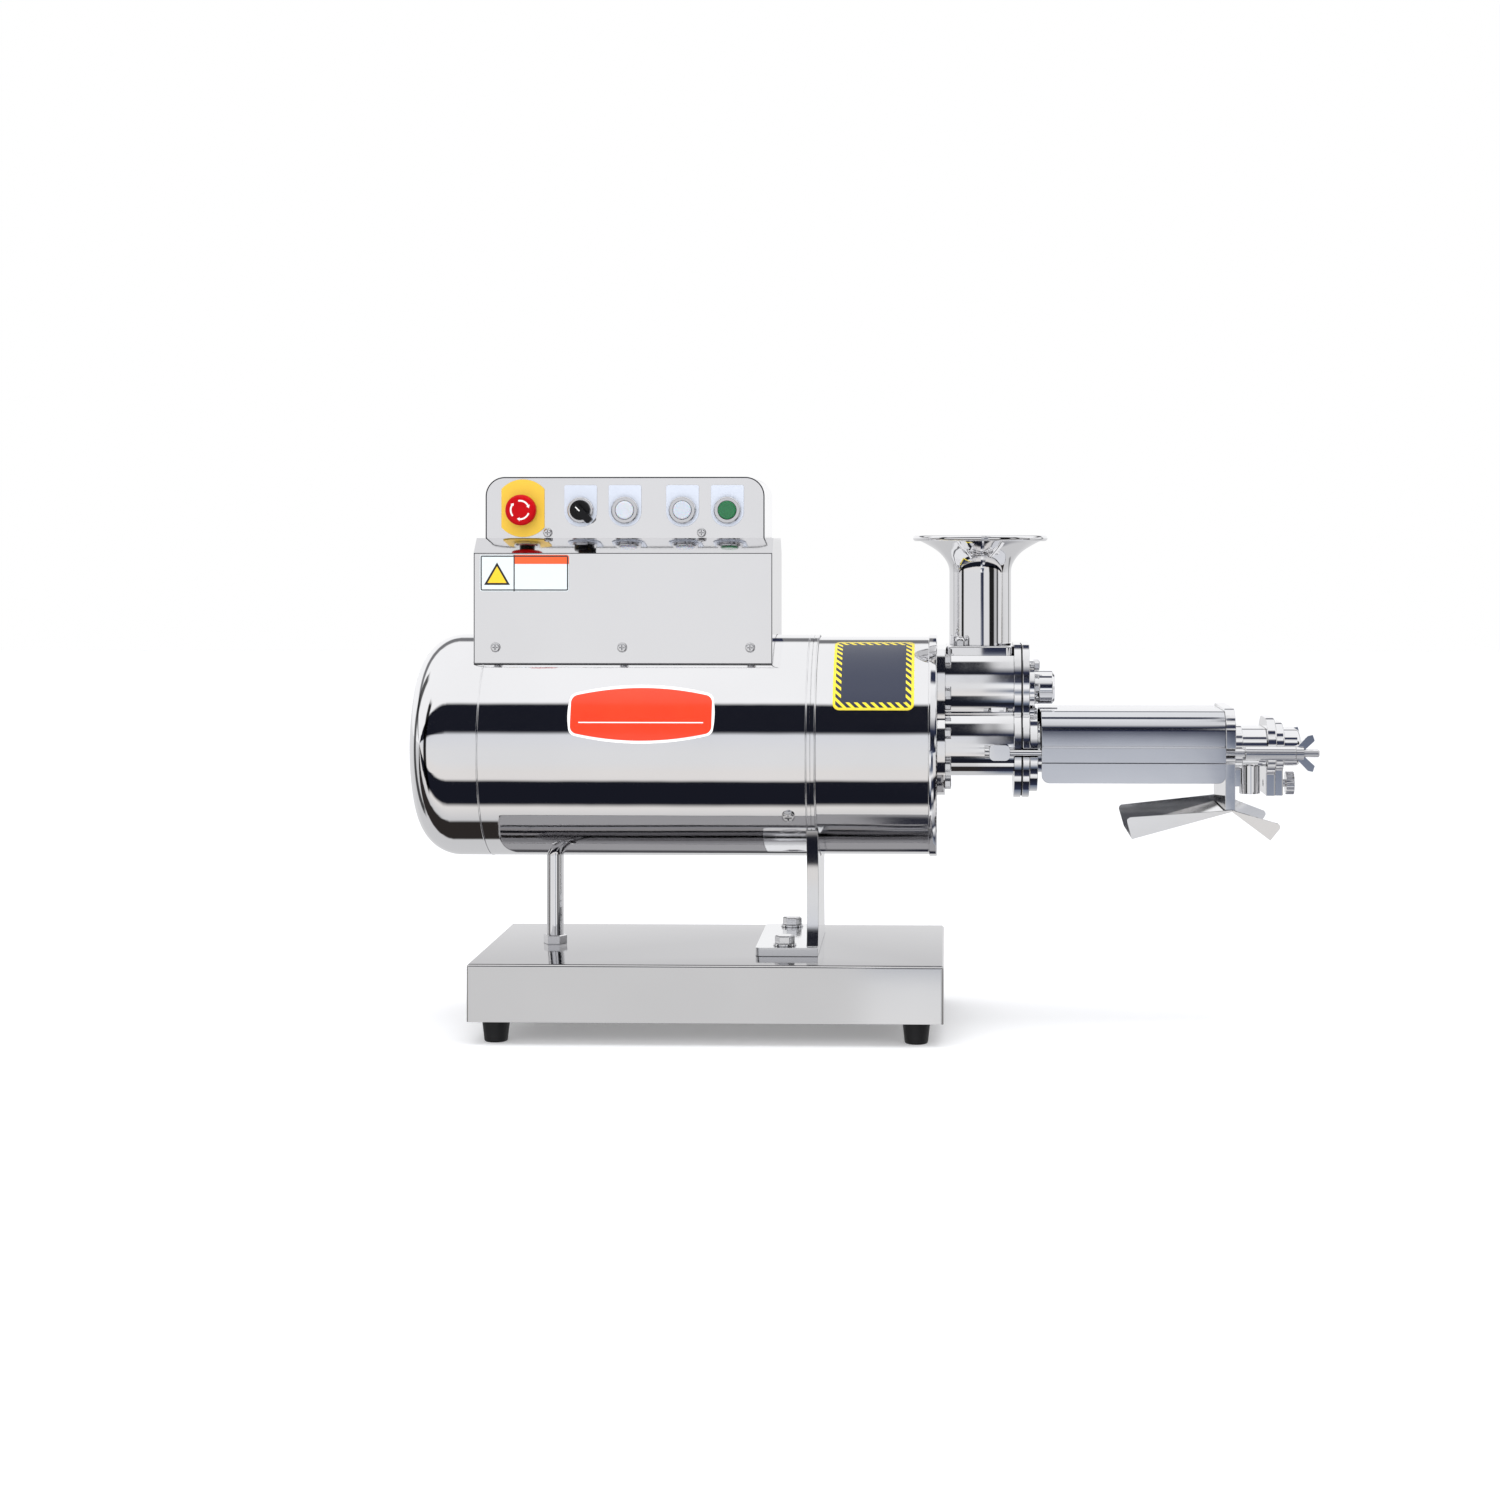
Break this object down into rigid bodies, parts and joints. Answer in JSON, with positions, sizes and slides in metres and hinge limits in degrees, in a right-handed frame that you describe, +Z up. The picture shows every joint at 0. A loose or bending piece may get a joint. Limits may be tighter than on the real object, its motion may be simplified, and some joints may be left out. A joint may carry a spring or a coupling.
{
  "type": "twin gear juice extractor",
  "caption": "Bench-top twin-gear juice extractor: motor barrel on a sheet base, control box on top, trumpet hopper, hooded press with a chute tray and pressure end.",
  "frame": {"origin": "bottom centre of the whole machine, on the surface that it stands on", "axes": "+X along the drive axis towards the discharge end, -Y the control side, +Z up"},
  "size_m": [0.948, 0.28, 0.5755],
  "materials": {
    "mirror_steel": "mirror polished stainless steel",
    "satin_steel": "satin brushed stainless steel",
    "fastener_steel": "bright turned stainless steel",
    "gear_steel": "machined steel",
    "motor_iron": "painted cast iron",
    "black_rubber": "moulded black rubber",
    "orange_plate": "gloss orange with a white border",
    "hazard_plate": "dark plate with a yellow striped border",
    "white_plate": "printed film",
    "yellow_plate": "satin yellow",
    "legend_plate": "satin anodised",
    "bezel_metal": "satin chrome",
    "red_plastic": "glossy red",
    "black_plastic": "semi gloss black",
    "white_lens": "translucent white",
    "clear_lens": "translucent clear",
    "green_lens": "translucent green"
  },
  "bodies": {
    "frame": {"base_pan": "satin_steel", "bracket_fasteners": "fastener_steel", "cable_gland": "black_plastic", "casing_gasket": "black_rubber", "chute_tray": "mirror_steel", "contact_blocks": "black_plastic", "contactor": "black_plastic", "control_bezels": "bezel_metal", "control_box": "satin_steel", "control_panel": "satin_steel", "discharge_flange": "mirror_steel", "discharge_housing": "mirror_steel", "dome_nut": "mirror_steel", "end_cap": "mirror_steel", "end_flanges": "mirror_steel", "estop_plate": "yellow_plate", "feed_housing": "mirror_steel", "front_bracket": "satin_steel", "front_cover": "mirror_steel", "front_plate": "mirror_steel", "gearbox_plates": "motor_iron", "gearbox_shell": "mirror_steel", "hanger_flange": "mirror_steel", "hazard_plate": "hazard_plate", "hood": "mirror_steel", "housing_bolts": "fastener_steel", "joint_ring": "mirror_steel", "legend_plates": "legend_plate", "main_lamp_lens": "clear_lens", "maker_plate": "orange_plate", "motor_end_shields": "motor_iron", "motor_shell": "mirror_steel", "pan_head_screws": "fastener_steel", "rear_cap": "mirror_steel", "rear_post": "mirror_steel", "rear_post_nut": "mirror_steel", "rod_sleeves": "mirror_steel", "roller_bearing_cap": "mirror_steel", "rubber_feet": "black_rubber", "screen_flange": "mirror_steel", "shaft_bearings": "gear_steel", "shaft_seals": "black_rubber", "stator": "motor_iron", "strainer_screen": "mirror_steel", "tie_rods": "mirror_steel", "voltage_plate": "white_plate"},
    "hopper": {"hopper": "mirror_steel"},
    "estop_stem": {"estop_stem": "black_plastic"},
    "estop_head": {"estop_head": "red_plastic"},
    "selector": {"selector_knob": "black_plastic"},
    "reverse_button": {"reverse_button": "white_lens"},
    "start_button": {"start_button": "green_lens"},
    "wing_nut_front": {"wing_nut_front": "mirror_steel"},
    "wing_nut_back": {"wing_nut_back": "mirror_steel"},
    "pressure_knob": {"pressure_knob": "mirror_steel"},
    "rotor": {"rotor": "gear_steel"},
    "intermediate_shaft": {"intermediate_shaft": "gear_steel"},
    "primary_screw": {"primary_screw": "gear_steel"},
    "secondary_screw": {"secondary_screw": "gear_steel"},
    "crushing_roller": {"crushing_roller": "gear_steel"}
  },
  "joints": [
    {"name": "hopper_lift", "type": "slide", "parent": "frame", "child": "hopper", "axis": [0, 0, 1], "range_m": [0, 0.12]},
    {"name": "estop_press", "type": "slide", "parent": "frame", "child": "estop_stem", "axis": [0, 1, 0], "range_m": [0, 0.0045], "stiffness_N_per_m": 1200},
    {"name": "estop_twist", "type": "hinge", "parent": "estop_stem", "child": "estop_head", "pos_m": [-0.3506, -0.07, 0.541], "axis": [0, 1, 0], "range_deg": [0, 45], "stiffness_Nm_per_rad": 0.05},
    {"name": "selector_turn", "type": "hinge", "parent": "frame", "child": "selector", "pos_m": [-0.2904, -0.07, 0.541], "axis": [0, 1, 0], "range_deg": [0, 90]},
    {"name": "reverse_press", "type": "slide", "parent": "frame", "child": "reverse_button", "axis": [0, 1, 0], "range_m": [0, 0.003], "stiffness_N_per_m": 600},
    {"name": "start_press", "type": "slide", "parent": "frame", "child": "start_button", "axis": [0, 1, 0], "range_m": [0, 0.003], "stiffness_N_per_m": 600},
    {"name": "wing_nut_front_turn", "type": "hinge", "parent": "frame", "child": "wing_nut_front", "pos_m": [0.455, -0.058, 0.29], "axis": [1, 0, 0], "continuous": true},
    {"name": "wing_nut_back_turn", "type": "hinge", "parent": "frame", "child": "wing_nut_back", "pos_m": [0.455, 0.058, 0.29], "axis": [1, 0, 0], "continuous": true},
    {"name": "pressure_knob_turn", "type": "hinge", "parent": "frame", "child": "pressure_knob", "pos_m": [0.45, 0, 0.254], "axis": [1, 0, 0], "continuous": true},
    {"name": "rotor_spin", "type": "hinge", "parent": "frame", "child": "rotor", "pos_m": [-0.25, 0, 0.293], "axis": [1, 0, 0], "continuous": true},
    {"name": "intermediate_spin", "type": "hinge", "parent": "frame", "child": "intermediate_shaft", "pos_m": [0, -0.01, 0.23628], "axis": [1, 0, 0], "continuous": true},
    {"name": "primary_spin", "type": "hinge", "parent": "frame", "child": "primary_screw", "pos_m": [0.1, -0.02, 0.293], "axis": [1, 0, 0], "continuous": true},
    {"name": "secondary_spin", "type": "hinge", "parent": "frame", "child": "secondary_screw", "pos_m": [0.1, 0.02, 0.293], "axis": [1, 0, 0], "continuous": true},
    {"name": "roller_spin", "type": "hinge", "parent": "frame", "child": "crushing_roller", "pos_m": [0.1, 0, 0.3544], "axis": [1, 0, 0], "continuous": true}
  ],
  "couplings": [
    {"joint": "intermediate_spin", "follows": "rotor_spin", "ratio": -0.2},
    {"joint": "primary_spin", "follows": "rotor_spin", "ratio": 0.048276},
    {"joint": "secondary_spin", "follows": "rotor_spin", "ratio": -0.048276},
    {"joint": "roller_spin", "follows": "rotor_spin", "ratio": -0.048276}
  ]
}
